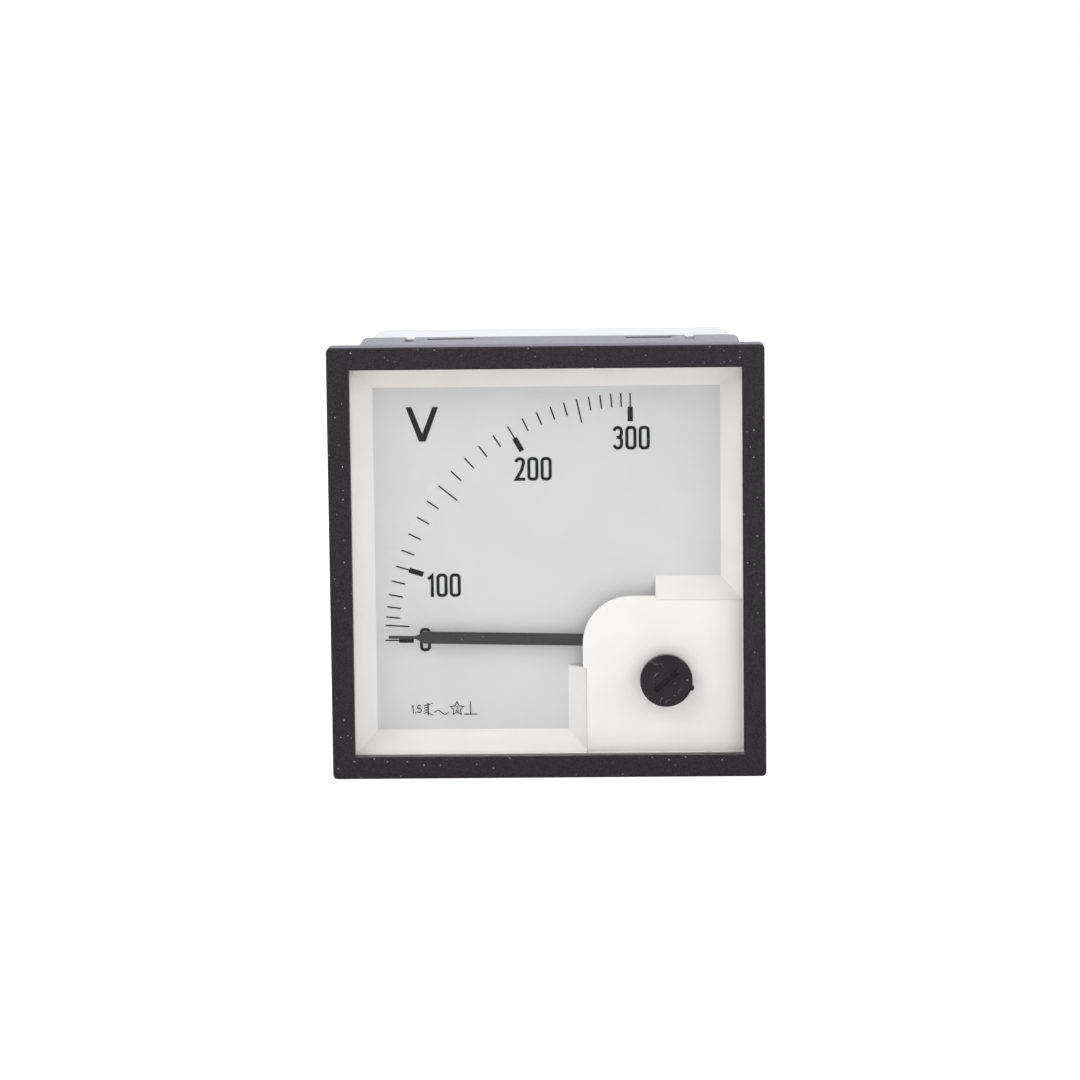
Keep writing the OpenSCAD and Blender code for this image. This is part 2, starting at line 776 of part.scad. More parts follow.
module terminal_screws() {
    start = rear_wall_back_y + post_h + clamp_t;
    head_h = 2.4;
    color("#c7c9cc") at_terminals() difference() {
        union() {
            rod(start, start + head_h, terminal_thread_r * 1.9);
            rod(rear_wall_y - post_flange_t + 0.8, start + eps, terminal_thread_r - thread_fit);
        }
        translate([-5, start + head_h - 1, -0.5]) cube([10, 2, 1]);
    }
}

wire_r = 0.4;
lead_r = 0.6;
splice_x = resistor_l / 2 + 3;

module series_resistor() {
    tag_y = rear_wall_y - post_flange_t - tag_t - wire_r;
    end_x = resistor_l / 2 - 1;
    color("#7c5a3c") translate([0, resistor_y, resistor_z]) rotate([0, 90, 0])
        cylinder(h = resistor_l, r = resistor_r, center = true);
    color("#c7c4b8") {
        wire([[-end_x, resistor_y, resistor_z], [-terminal_x, resistor_y, resistor_z],
              [-terminal_x, tag_y, terminal_z + tag_hole_z]], wire_r);
        wire([[end_x, resistor_y, resistor_z], [splice_x + 1, resistor_y, resistor_z]], wire_r);
    }
}

// One lead joins the coil to the right tag, the other joins it to the resistor's wire
module leads() {
    tag_y = rear_wall_y - post_flange_t - tag_t - lead_r;
    start_y = former_back_y + lead_r;
    coil_end = [for (a = lead_angles)
        [pivot_x + coil_r * cos(a), start_y, pivot_z + coil_r * sin(a)]];
    splice_z = resistor_z - wire_r - 0.05;
    color("#a03a2c") {
        wire([coil_end[0], [coil_end[0][0], start_y + 2, terminal_z - 4],
              [terminal_x, tag_y, terminal_z + tag_hole_z]], lead_r);
        wire([coil_end[1], [coil_end[1][0], start_y, resistor_z - 6],
              [splice_x, resistor_y, splice_z - 3], [splice_x, resistor_y, splice_z]], lead_r);
    }
}

// ---- Movement frame ----

module at_pillars() {
    at_pivot() for (a = pillar_angles) polar(a, pillar_reach) children();
}

module at_bridge_posts() {
    at_pivot() for (a = bridge_angles) polar(a, bridge_reach) children();
}

// Round plate with an arm to each pillar
module frame_outline(r) {
    arm_w = 2 * pillar_r + 1;
    circle(r);
    for (a = pillar_angles) rotate(a) {
        translate([0, -arm_w / 2]) square([pillar_reach, arm_w]);
        translate([pillar_reach, 0]) circle(min(arm_w / 2, inner_w / 2 - pillar_reach + pivot_z));
    }
}

module front_plate() {
    color("#b9bbbf") difference() {
        union() {
            at_pivot() slab(front_plate_y, front_plate_back_y) frame_outline(disc_r);
            at_bridge_posts() rod(bridge_back_y, front_plate_y + eps, bridge_post_r);
            at_pivot() for (a = stop_angles) polar(a, stop_reach)
                rod(arm_y - 0.4, front_plate_y + eps, stop_r);
        }
        at_pivot() rod(front_plate_y - 1, front_plate_back_y + 1, bore_r + former_t + fit);
        at_pillars() rod(front_plate_y - 1, front_plate_back_y + 1, frame_screw_r + run_fit);
        at_bridge_posts() rod(bridge_back_y - 1, front_plate_back_y + 1, bridge_screw_r + run_fit);
    }
}

module frame_pillars() {
    color("#c9a24a") at_pillars() tube(front_plate_back_y, rear_plate_y, pillar_r, frame_screw_r + run_fit);
}

// A slotted screw whose head rests at depth y and whose shank runs along Y for l, back when l < 0
module slotted_screw(y, l, r, head_r, head_t) {
    toward = l > 0 ? 1 : -1;
    difference() {
        union() {
            translate([0, y, 0]) rotate([-90 * toward, 0, 0]) cylinder(h = abs(l), r = r);
            translate([0, y, 0]) rotate([90 * toward, 0, 0]) cylinder(h = head_t, r = head_r);
        }
        translate([0, y - toward * head_t, 0]) cube([3 * head_r, head_t, head_r / 3], center = true);
    }
}

// How far the frame's screws reach into the pillars
screw_bite = 4.8;

module frame_screws() {
    color("#c7c9cc") at_pillars()
        slotted_screw(front_plate_y, plate_t + screw_bite, frame_screw_r, head_r, 1);
}

module movement_screws() {
    color("#c7c9cc") at_pillars()
        slotted_screw(rear_wall_back_y - head_t, -(rear_wall_back_y - head_t - rear_plate_y + screw_bite),
                      frame_screw_r, head_r, 1);
}

module rear_plate() {
    color("#b9bbbf") at_pivot() difference() {
        slab(rear_plate_y, rear_plate_back_y) difference() {
            frame_outline(disc_r);
            for (a = [105, 225]) rotate(a) translate([disc_r * 0.55, 0]) circle(disc_r * 0.22);
        }
        rod(rear_plate_y - 1, rear_plate_back_y + 1, bearing_r + thread_fit);
        for (a = pillar_angles) polar(a, pillar_reach)
            rod(rear_plate_y - 1, rear_plate_back_y + 1, frame_screw_r + run_fit);
        polar(magnet_angle, yoke_screw_reach) rod(rear_plate_y - 1, rear_plate_back_y + 1, bridge_screw_r + run_fit);
    }
}

module front_bridge() {
    arm_w = 2 * bridge_post_r + 0.4;
    color("#c9a24a") difference() {
        union() {
            at_pivot() {
                slab(bridge_y, bridge_back_y) {
                    circle(arm_w);
                    for (a = bridge_angles) rotate(a) {
                        translate([0, -arm_w / 2]) square([bridge_reach, arm_w]);
                        translate([bridge_reach, 0]) circle(arm_w / 2);
                    }
                }
                rod(bridge_back_y - eps, boss_back_y, boss_r);
            }
        }
        at_pivot() rod(bridge_y - 1, boss_back_y + 1, bearing_r + thread_fit);
        at_bridge_posts() rod(bridge_y - 1, bridge_back_y + 1, bridge_screw_r + run_fit);
    }
}

module bridge_screws() {
    color("#c7c9cc") at_bridge_posts() slotted_screw(bridge_y, 5, bridge_screw_r, 1.6, 0.6);
}

// ---- Bearings ----

module front_bearing_screw() {
    color("#c9a24a") at_pivot() difference() {
        rod(front_bearing_y, boss_back_y, bearing_r);
        rod(boss_back_y - jewel_t, boss_back_y + eps, jewel_r);
        translate([-2, front_bearing_y - 1, -0.25]) cube([4, 1.4, 0.5]);
    }
}

module front_jewel() {
    color("#b03060") at_pivot() difference() {
        rod(boss_back_y - jewel_t, boss_back_y, jewel_r);
        taper(boss_back_y - 0.55, boss_back_y + eps, 0.1, spindle_r + 0.12);
    }
}

module lock_nut(y, t) {
    at_pivot() difference() {
        translate([0, y, 0]) rotate([-90, 0, 0]) cylinder(h = t, r = nut_r, $fn = 6);
        rod(y - eps, y + t + eps, bearing_r + thread_fit);
    }
}

module front_lock_nut() {
    color("#c7c9cc") lock_nut(bridge_y - nut_t, nut_t);
}

module rear_bearing_screw() {
    end_y = rear_bearing_y + rear_bearing_l;
    color("#c9a24a") at_pivot() difference() {
        rod(rear_bearing_y, end_y, bearing_r);
        rod(rear_bearing_y - eps, rear_bearing_y + jewel_t, jewel_r);
        translate([-2, end_y - 0.6, -0.25]) cube([4, 1, 0.5]);
    }
}

module rear_jewel() {
    color("#b03060") at_pivot() difference() {
        rod(rear_bearing_y, rear_bearing_y + jewel_t, jewel_r);
        taper(rear_bearing_y - eps, rear_bearing_y + 0.55, spindle_r + 0.12, 0.1);
    }
}

module rear_lock_nut() {
    color("#c7c9cc") lock_nut(rear_plate_back_y, 1.2);
}

// ---- Coil and irons ----

module coil_former() {
    core = bore_r + former_t;
    flange_r = coil_r + 0.7;
    color("#d9c9a0") at_pivot() difference() {
        union() {
            rod(front_plate_y, former_back_y, core);
            rod(front_plate_back_y, front_plate_back_y + former_t, flange_r);
            rod(former_back_y - former_t, former_back_y, flange_r);
        }
        rod(front_plate_y - 1, former_back_y + 1, bore_r);
    }
}

module coil_winding() {
    color("#b4602c") at_pivot()
        tube(front_plate_back_y + former_t, former_back_y - former_t, coil_r, bore_r + former_t);
}

module coil_wrap() {
    color("#d8b23a") at_pivot()
        tube(front_plate_back_y + former_t, former_back_y - former_t, coil_r + 0.3, coil_r);
}

// Part of a ring from r_in to r_out, spanning angle a from the X axis
module ring_sector(r_in, r_out, a) {
    steps = ceil(a / 90);
    intersection() {
        difference() {
            circle(r_out);
            circle(r_in);
        }
        polygon(concat([[0, 0]],
                       [for (i = [0 : steps]) 2 * r_out * [cos(a * i / steps), sin(a * i / steps)]]));
    }
}

iron_t = 0.45;
iron_span = 60;
iron_tail_span = 110;

// Soft-iron tongue curved to the former's bore, cut back over the far part of its arc
module fixed_vane() {
    outer = bore_r - run_fit;
    start = front_plate_back_y + 1.5;
    end = former_back_y - 1.5;
    color("#8d9094") at_pivot() {
        slab(start, end) rotate(fixed_vane_angle) ring_sector(outer - iron_t, outer, iron_span);
        slab(start, (start + end) / 2) rotate(fixed_vane_angle)
            ring_sector(outer - iron_t, outer, iron_tail_span);
    }
}

module moving_vane() {
    span = 56;
    strip = 0.35;
    r = bore_r - 0.9;
    color("#8d9094") at_pivot() slab(front_plate_back_y + 2, former_back_y - 2)
        rotate(moving_vane_angle) difference() {
            union() {
                circle(spindle_r + 0.5);
                rotate(-span / 2) ring_sector(r - strip, r, span);
                translate([0, -strip / 2]) square([r - strip / 2, strip]);
            }
            circle(spindle_r + run_fit / 2);
        }
}

// ---- Moving system ----

module spindle() {
    color("#9a9ca2") at_pivot() {
        taper(spindle_front_y, spindle_front_y + tip_cone, 0.08, spindle_r);
        rod(spindle_front_y + tip_cone - eps, spindle_back_y - tip_cone + eps, spindle_r);
        taper(spindle_back_y - tip_cone, spindle_back_y, spindle_r, 0.08);
    }
}

collet_r = 0.9;

module spring_collet() {
    color("#c9a24a") at_pivot() tube(spring_y - 0.1, hub_y, collet_r, spindle_r + run_fit / 2);
}

// Flat spiral from the collet out to the regulator's stud
module hairspring() {
    steps = 24 * spring_turns;
    start_r = collet_r + spring_t / 2 + 0.02;
    end_r = stud_reach - stud_r - spring_t / 2 - 0.02;
    turn = 360 * spring_turns;
    function spiral(i, off) =
        let (r = start_r + (end_r - start_r) * i / steps + off, a = turn * i / steps)
        r * [cos(a), sin(a)];
    color("#a8752e") at_pivot() slab(spring_y, spring_y + spring_h) rotate(adjuster_angle)
        polygon(concat([for (i = [0 : steps]) spiral(i, spring_t / 2)],
                       [for (i = [steps : -1 : 0]) spiral(i, -spring_t / 2)]));
}

module pointer_hub() {
    color("#c9a24a") at_pivot() {
        tube(hub_y, arm_y, collet_r + 0.3, spindle_r + run_fit / 2);
        tube(arm_y - eps, arm_y + pointer_t + eps, collet_r, spindle_r + run_fit / 2);
        tube(arm_y + pointer_t, hub_back_y, collet_r + 0.6, spindle_r + run_fit / 2);
    }
}

crank_in = 4.7;
crank_run = 1.5;
side_arm_l = 4.6;

// The pointer's outline in its own plane, pointing along X
module pointer_outline() {
    bar_end = tip_r - tip_l - taper_l;
    circle(2);
    polygon([[0, -bar_w / 2], [bar_end, -bar_w / 2], [tip_r - tip_l, -tip_w / 2], [tip_r, -tip_w / 2],
             [tip_r, tip_w / 2], [tip_r - tip_l, tip_w / 2], [bar_end, bar_w / 2], [0, bar_w / 2]]);
    translate([-tail_l, -tail_w / 2]) square([tail_l, tail_w]);
    translate([-tail_w / 2, -side_arm_l]) square([tail_w, 2 * side_arm_l]);
}

// The sheet seen from its edge: level at the hub, cranked forward, then level over the dial
module pointer_edge() {
    crank_out = crank_in + crank_run;
    polygon([[-tail_l - 1, arm_y], [crank_in, arm_y], [crank_out, pointer_y], [tip_r + 1, pointer_y],
             [tip_r + 1, pointer_y + pointer_t], [crank_out + 0.2, pointer_y + pointer_t],
             [crank_in + 0.2, arm_y + pointer_t], [-tail_l - 1, arm_y + pointer_t]]);
}

module pointer() {
    color("#4b4a4d") at_pivot() polar(180 - rest_angle) difference() {
        intersection() {
            slab(pointer_y - 1, arm_y + 1) pointer_outline();
            translate([0, 0, -tail_l]) linear_extrude(2 * tail_l) pointer_edge();
        }
        rod(arm_y - 1, arm_y + pointer_t + 1, collet_r + run_fit / 2);
    }
}

weight_r = 0.75;
tail_weight_l = 1.6;
side_weight_l = 1.2;

// Wire coils pinched on the cross arms
module weight(start, l) {
    translate([start, arm_y + pointer_t / 2, 0]) rotate([0, 90, 0]) difference() {
        cylinder(h = l, r = weight_r);
        translate([0, 0, -1]) cube([tail_w, pointer_t, 2 * l + 4], center = true);
    }
}

module balance_weights() {
    color("#c9a24a") at_pivot() polar(180 - rest_angle) {
        polar(180) weight(4, tail_weight_l);
        polar(90) weight(3.2, side_weight_l);
        polar(270) weight(3.2, side_weight_l);
    }
}

module damping_vane() {
    color("#cfd1d4") at_pivot() polar(tail_angle - vane_span / 2) {
        slab(vane_y, vane_y + vane_t) difference() {
            union() {
                ring_sector(0.1, vane_r, vane_span);
                circle(2.2);
            }
            circle(spindle_r + run_fit / 2);
        }
        tube(vane_y - 0.6, vane_y + eps, spindle_r + 0.45, spindle_r + run_fit / 2);
    }
}

magnet_in = 8;
magnet_l = 5;
magnet_w = 6;

module damping_magnet() {
    color("#5b5d63") at_pivot() polar(magnet_angle)
        translate([magnet_in, magnet_y, -magnet_w / 2]) cube([magnet_l, magnet_t, magnet_w]);
}

// C-shaped yoke: one leg on the rear plate behind the magnet, the other before the vane
module magnet_yoke() {
    leg_in = magnet_in - 0.8;
    web = vane_r + 2.2;
    color("#9a9ca2") at_pivot() polar(magnet_angle) difference() {
        translate([0, 0, -magnet_w / 2 - 0.4]) linear_extrude(magnet_w + 0.8)
            polygon([[leg_in, yoke_y], [web + yoke_t, yoke_y], [web + yoke_t, rear_plate_y],
                     [leg_in, rear_plate_y], [leg_in, rear_plate_y - yoke_t],
                     [web, rear_plate_y - yoke_t], [web, yoke_y + yoke_t], [leg_in, yoke_y + yoke_t]]);
        translate([yoke_screw_reach, 0, 0])
            rod(rear_plate_y - yoke_t - eps, rear_plate_y + eps, bridge_screw_r + run_fit);
    }
}

module yoke_screw() {
    color("#c7c9cc") at_pivot() polar(magnet_angle, yoke_screw_reach)
        slotted_screw(rear_plate_back_y, -(plate_t + yoke_t - 0.05), bridge_screw_r, 1.8, 1);
}

front_bezel();
window_glass();
dial_mask();
movement_cover();
dial_plate();
scale_marks();
zero_adjuster();
adjuster_clip();
case();
rear_cover();
terminal_posts();
terminal_screws();
terminal_clamps();
solder_tags();
series_resistor();
leads();
front_plate();
frame_pillars();
frame_screws();
rear_plate();
movement_screws();
front_bridge();
bridge_screws();
front_bearing_screw();
front_lock_nut();
front_jewel();
rear_bearing_screw();
rear_lock_nut();
rear_jewel();
regulator_arm();
regulator_washer();
coil_former();
coil_winding();
coil_wrap();
fixed_vane();
moving_vane();
spindle();
hairspring();
spring_collet();
pointer_hub();
pointer();
balance_weights();
damping_vane();
damping_magnet();
magnet_yoke();
yoke_screw();
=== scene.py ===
import json
import math

import bmesh
import bpy
from mathutils import Matrix, Vector


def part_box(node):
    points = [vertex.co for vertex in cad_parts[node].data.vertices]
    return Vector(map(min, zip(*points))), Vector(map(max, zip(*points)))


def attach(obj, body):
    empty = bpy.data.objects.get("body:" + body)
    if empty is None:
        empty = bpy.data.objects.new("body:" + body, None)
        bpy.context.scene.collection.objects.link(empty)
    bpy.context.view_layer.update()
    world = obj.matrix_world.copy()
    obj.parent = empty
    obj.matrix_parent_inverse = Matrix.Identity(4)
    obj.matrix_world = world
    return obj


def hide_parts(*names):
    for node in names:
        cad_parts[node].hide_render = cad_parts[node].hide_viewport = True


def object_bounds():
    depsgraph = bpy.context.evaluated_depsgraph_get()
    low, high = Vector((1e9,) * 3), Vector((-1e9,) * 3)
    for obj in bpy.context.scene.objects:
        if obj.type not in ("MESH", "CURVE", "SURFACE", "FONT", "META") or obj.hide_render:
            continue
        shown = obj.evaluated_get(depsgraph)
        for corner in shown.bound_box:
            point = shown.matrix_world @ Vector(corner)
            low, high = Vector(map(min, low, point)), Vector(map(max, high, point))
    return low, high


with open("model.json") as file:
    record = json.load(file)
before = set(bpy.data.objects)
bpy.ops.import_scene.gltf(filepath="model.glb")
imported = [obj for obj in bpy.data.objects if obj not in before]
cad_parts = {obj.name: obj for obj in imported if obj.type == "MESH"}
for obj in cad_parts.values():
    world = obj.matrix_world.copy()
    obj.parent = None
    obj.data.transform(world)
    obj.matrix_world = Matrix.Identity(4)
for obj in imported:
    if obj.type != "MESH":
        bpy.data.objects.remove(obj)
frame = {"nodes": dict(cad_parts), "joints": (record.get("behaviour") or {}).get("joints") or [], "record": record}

cad_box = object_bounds()
MM = 0.001
scene = bpy.context.scene

# ---------------------------------------------------------------- places, from the frame
front_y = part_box("front_bezel")[0].y
floor_z = cad_box[0][2]
dial_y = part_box("dial_plate")[0].y
mark_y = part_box("scale_marks")[0].y
cover_low, cover_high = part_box("movement_cover")

# ---------------------------------------------------------------- camera
# Long lens, a little above the front and a little to its left
PITCH, YAW, ROLL = math.radians(8.2), math.radians(-1.13), math.radians(-0.65)
DISTANCE = 742.5 * MM
SHIFT_X, SHIFT_Z = 1.2 * MM, -3.9 * MM
LENS, SENSOR = 150, 36


def add_camera():
    turn = (Matrix.Rotation(ROLL, 3, "Y") @ Matrix.Rotation(PITCH, 3, "X") @ Matrix.Rotation(YAW, 3, "Z"))
    right, forward, up = turn
    target = Vector((0, front_y, 0))
    place = target - turn.transposed() @ Vector((SHIFT_X, DISTANCE, SHIFT_Z))
    data = bpy.data.cameras.new("camera")
    data.sensor_width = SENSOR
    data.lens = LENS
    data.clip_start = 0.01
    camera = bpy.data.objects.new("camera", data)
    basis = Matrix((right, up, -forward)).transposed()
    camera.matrix_world = Matrix.Translation(place) @ basis.to_4x4()
    scene.collection.objects.link(camera)
    scene.camera = camera


add_camera()


# ---------------------------------------------------------------- material helpers
def new_material(name):
    material = bpy.data.materials.new(name)
    material.use_nodes = True
    tree = material.node_tree
    shader = tree.nodes["Principled BSDF"]
    place = tree.nodes.new("ShaderNodeTexCoord")
    return material, tree, shader, place.outputs["Object"]


def noise(tree, place, size_mm, detail=3.0, roughness=0.5):
    """Noise whose features are about size_mm across."""
    node = tree.nodes.new("ShaderNodeTexNoise")
    node.inputs["Scale"].default_value = 1 / (size_mm * MM)
    node.inputs["Detail"].default_value = detail
    node.inputs["Roughness"].default_value = roughness
    tree.links.new(place, node.inputs["Vector"])
    return node.outputs["Fac"]


def ramp(tree, value, stops):
    """Maps a value to colours: stops are (position, grey or colour)."""
    node = tree.nodes.new("ShaderNodeValToRGB")
    elements = node.color_ramp.elements
    while len(elements) < len(stops):
        elements.new(0.5)
    for element, (position, colour) in zip(elements, stops):
        element.position = position
        colour = colour if isinstance(colour, tuple) else (colour, colour, colour)
        element.color = (*colour, 1)
    tree.links.new(value, node.inputs["Fac"])
    return node.outputs["Color"]


def mix(tree, factor, low, high):
    node = tree.nodes.new("ShaderNodeMix")
    node.data_type = "RGBA"
    for socket, value in ((node.inputs["Factor"], factor), (node.inputs[6], low), (node.inputs[7], high)):
        if isinstance(value, bpy.types.NodeSocket):
            tree.links.new(value, socket)
        elif isinstance(value, tuple):
            socket.default_value = (*value, 1)
        else:
            socket.default_value = value
    return node.outputs[2]


def bump(tree, shader, height, strength, depth_mm):
    node = tree.nodes.new("ShaderNodeBump")
    node.inputs["Strength"].default_value = strength
    node.inputs["Distance"].default_value = depth_mm * MM
    tree.links.new(height, node.inputs["Height"])
    tree.links.new(node.outputs["Normal"], shader.inputs["Normal"])


def math_node(tree, operation, *values):
    node = tree.nodes.new("ShaderNodeMath")
    node.operation = operation
    for socket, value in zip(node.inputs, values):
        if isinstance(value, bpy.types.NodeSocket):
            tree.links.new(value, socket)
        else:
            socket.default_value = value
    return node.outputs[0]


def near(tree, place, centre_mm, reach_mm):
    """1 at a point, fading to 0 at reach_mm from it."""
    away = tree.nodes.new("ShaderNodeVectorMath")
    away.operation = "DISTANCE"
    tree.links.new(place, away.inputs[0])
    away.inputs[1].default_value = [c * MM for c in centre_mm]
    fade = tree.nodes.new("ShaderNodeMapRange")
    fade.inputs["From Min"].default_value = reach_mm * MM
    fade.inputs["From Max"].default_value = reach_mm * MM * 0.2
    tree.links.new(away.outputs["Value"], fade.inputs["Value"])
    return fade.outputs["Result"]


def specks(tree, place, dust):
    """Fine dust: small dots spread thinly all over, and thickly round the given places."""
    cells = tree.nodes.new("ShaderNodeTexVoronoi")
    cells.inputs["Scale"].default_value = 1 / (dust["cell_mm"] * MM)
    tree.links.new(place, cells.inputs["Vector"])
    split = tree.nodes.new("ShaderNodeSeparateColor")
    tree.links.new(cells.outputs["Color"], split.inputs["Color"])
    share = dust["share"]
    for centre_mm, reach_mm, more in dust["heaps"]:
        heap = math_node(tree, "MULTIPLY", near(tree, place, centre_mm, reach_mm), more)
        share = math_node(tree, "ADD", heap, share)
    chosen = math_node(tree, "LESS_THAN", split.outputs["Red"], share)
    size = math_node(tree, "MULTIPLY_ADD", split.outputs["Green"], dust["size"], dust["size"] * 0.35)
    inside = math_node(tree, "LESS_THAN", cells.outputs["Distance"], size)
    return math_node(tree, "MULTIPLY", math_node(tree, "MULTIPLY", chosen, inside), split.outputs["Blue"])


def surface(name, dark, light, rough=(0.4, 0.55), grain_mm=0.5, bump_mm=0.0, metallic=0.0, patch_mm=12.0,
            dust=None, scratch=None, speckle_mm=None, specular=0.5):
    """A finish that drifts between two colours, with fine grain in its gloss and relief."""
    material, tree, shader, place = new_material(name)
    drift = noise(tree, place, patch_mm, 2)
    grain = noise(tree, place, grain_mm, 4, 0.6)
    colour = mix(tree, ramp(tree, drift, [(0.35, 0.0), (0.65, 1.0)]), dark, light)
    if speckle_mm:
        # moulded grain that shows as a fine speckle
        colour = mix(tree, ramp(tree, noise(tree, place, speckle_mm, 2), [(0.4, 0.0), (0.62, 1.0)]), dark, light)
    if scratch:
        # thin arcs where a noise field crosses its middle value, kept to a few places
        field = noise(tree, place, scratch["size_mm"], 1)
        line = ramp(tree, field, [(0.5 - scratch["width"], 0.0), (0.5, 1.0), (0.5 + scratch["width"], 0.0)])
        where = ramp(tree, noise(tree, place, scratch["size_mm"] * 0.6, 2), [(0.55, 0.0), (0.62, 1.0)])
        colour = mix(tree, math_node(tree, "MULTIPLY", line, where), colour, scratch["colour"])
    if dust:
        colour = mix(tree, specks(tree, place, dust), colour, dust["colour"])
    tree.links.new(colour, shader.inputs["Base Color"])
    tree.links.new(ramp(tree, grain, [(0.3, rough[0]), (0.7, rough[1])]), shader.inputs["Roughness"])
    if bump_mm:
        bump(tree, shader, grain, 1.0, bump_mm)
    shader.inputs["Metallic"].default_value = metallic
    shader.inputs["Specular IOR Level"].default_value = specular
    return material


def grey(value, warm=0.0, pink=0.0):
    """Linear grey from a display level of 0 to 255, a little warm or cool, or pink."""
    level = value / 255
    linear = level / 12.92 if level <= 0.04045 else ((level + 0.055) / 1.055) ** 2.4
    return (linear * (1 + warm), linear * (1 - pink), linear * (1 - warm))


def window_material():
    material, tree, shader, _ = new_material("clear_window")
    shader.inputs["Base Color"].default_value = (1, 1, 1, 1)
    shader.inputs["Roughness"].default_value = 0.02
    shader.inputs["IOR"].default_value = 1.3
    shader.inputs["Transmission Weight"].default_value = 1.0
    # light passes to the dial without being bent, so the dial stays evenly lit
    clear = tree.nodes.new("ShaderNodeBsdfTransparent")
    path = tree.nodes.new("ShaderNodeLightPath")
    blend = tree.nodes.new("ShaderNodeMixShader")
    output = tree.nodes["Material Output"]
    tree.links.new(path.outputs["Is Shadow Ray"], blend.inputs["Fac"])
    tree.links.new(shader.outputs["BSDF"], blend.inputs[1])
    tree.links.new(clear.outputs["BSDF"], blend.inputs[2])
    tree.links.new(blend.outputs["Shader"], output.inputs["Surface"])
    return material


BEZEL_DUST = {"cell_mm": 0.55, "size": 0.17, "share": 0.1, "colour": grey(165),
              "heaps": [((-26, -5, 33.5), 5, 0.2), ((27, -5, 34.5), 6, 0.3), ((31, -5, 35), 3, 0.3),
                        ((-32, -5, -29), 5, 0.25), ((34, -5, -2), 9, 0.12), ((24, -5, -34), 5, 0.1)]}
HEAD_DUST = {"cell_mm": 0.55, "size": 0.17, "share": 0.1, "colour": grey(190), "heaps": []}
POINTER_DUST = {"cell_mm": 0.5, "size": 0.22, "share": 0.16, "colour": grey(170), "heaps": []}
HEAD_MARKS = {"size_mm": 2.2, "width": 0.012, "colour": grey(120)}

# By material slot: the darker and lighter colour, then gloss, grain size, relief and metal
LOOKS = {
    "bezel_black": surface("bezel_plastic", grey(32, 0.0, 0.13), grey(52, 0.0, 0.12), (0.34, 0.46), 0.2, 0.014,
                           dust=BEZEL_DUST, speckle_mm=0.24),
    "case_black": surface("case_plastic", grey(34), grey(40), (0.28, 0.36), 0.4, 0.006),
    "mask_white": surface("mask_plastic", grey(231, 0.014), grey(235, 0.014), (0.5, 0.6), 0.4, 0.003),
    "cover_white": surface("cover_plastic", grey(233, 0.012), grey(236, 0.012), (0.45, 0.55), 0.4, 0.003),
    "dial_gray": surface("dial_paint", grey(208, -0.004, 0.006), grey(211, -0.004, 0.006), (0.6, 0.7), 0.15, 0.002),
    "print_black": surface("print", grey(6), grey(12), (0.7, 0.8), 0.1, specular=0.1),
    "adjuster_black": surface("adjuster_plastic", grey(40, 0.01, 0.12), grey(46, 0.01, 0.12), (0.15, 0.22), 0.15, 0.002,
                              dust=HEAD_DUST, scratch=HEAD_MARKS),
    "pointer_black": surface("pointer_paint", grey(20, -0.01, 0.04), grey(27, -0.01, 0.04), (0.5, 0.6), 0.12, 0.004,
                             dust=POINTER_DUST),
    "rear_cover_white": surface("rear_cover_plastic", grey(224, -0.01), grey(227, -0.01), (0.4, 0.5), 0.4, 0.003),
    "brass": surface("brass", (0.55, 0.38, 0.14), (0.65, 0.46, 0.19), (0.25, 0.4), 0.2, 0.002, 1.0),
    "steel": surface("zinc_steel", (0.5, 0.51, 0.53), (0.6, 0.61, 0.63), (0.25, 0.4), 0.2, 0.002, 1.0),
    "soft_iron": surface("soft_iron", (0.3, 0.31, 0.33), (0.38, 0.39, 0.4), (0.4, 0.55), 0.3, 0.003, 1.0),
    "magnet": surface("magnet", (0.1, 0.1, 0.11), (0.14, 0.14, 0.15), (0.5, 0.65), 0.3, 0.004, 0.6),
    "aluminium": surface("aluminium_sheet", (0.68, 0.69, 0.7), (0.76, 0.77, 0.78), (0.3, 0.45), 0.25, 0.002, 1.0),
    "former": surface("former", (0.6, 0.5, 0.3), (0.68, 0.58, 0.36), (0.4, 0.5), 0.4, 0.003),
    "copper": surface("copper", (0.45, 0.16, 0.06), (0.55, 0.22, 0.09), (0.3, 0.45), 0.1, 0.01, 0.8),
    "tape": surface("tape", (0.6, 0.38, 0.06), (0.68, 0.45, 0.08), (0.25, 0.4), 0.5, 0.003),
    "bronze": surface("bronze", (0.4, 0.22, 0.08), (0.5, 0.28, 0.1), (0.25, 0.35), 0.2, 0.001, 1.0),
    "jewel": surface("jewel", (0.35, 0.02, 0.08), (0.45, 0.03, 0.1), (0.05, 0.1), 0.2),
    "resistor": surface("resistor_lacquer", (0.2, 0.1, 0.06), (0.26, 0.14, 0.08), (0.3, 0.45), 0.3, 0.004),
    "insulation": surface("sleeving", (0.3, 0.03, 0.02), (0.38, 0.05, 0.03), (0.45, 0.6), 0.2, 0.004),
    "window": window_material(),
}


def dress(obj, material_slot):
    obj.data.materials.clear()
    obj.data.materials.append(LOOKS[material_slot])


for row in frame["record"]["subparts"]:
    dress(frame["nodes"][row["node"]], row["material_slot"])


# ---------------------------------------------------------------- pieces
def add_piece(name, mesh, material_slot, body):
    obj = bpy.data.objects.new(name, mesh)
    scene.collection.objects.link(obj)
    dress(obj, material_slot)
    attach(obj, body)
    return obj


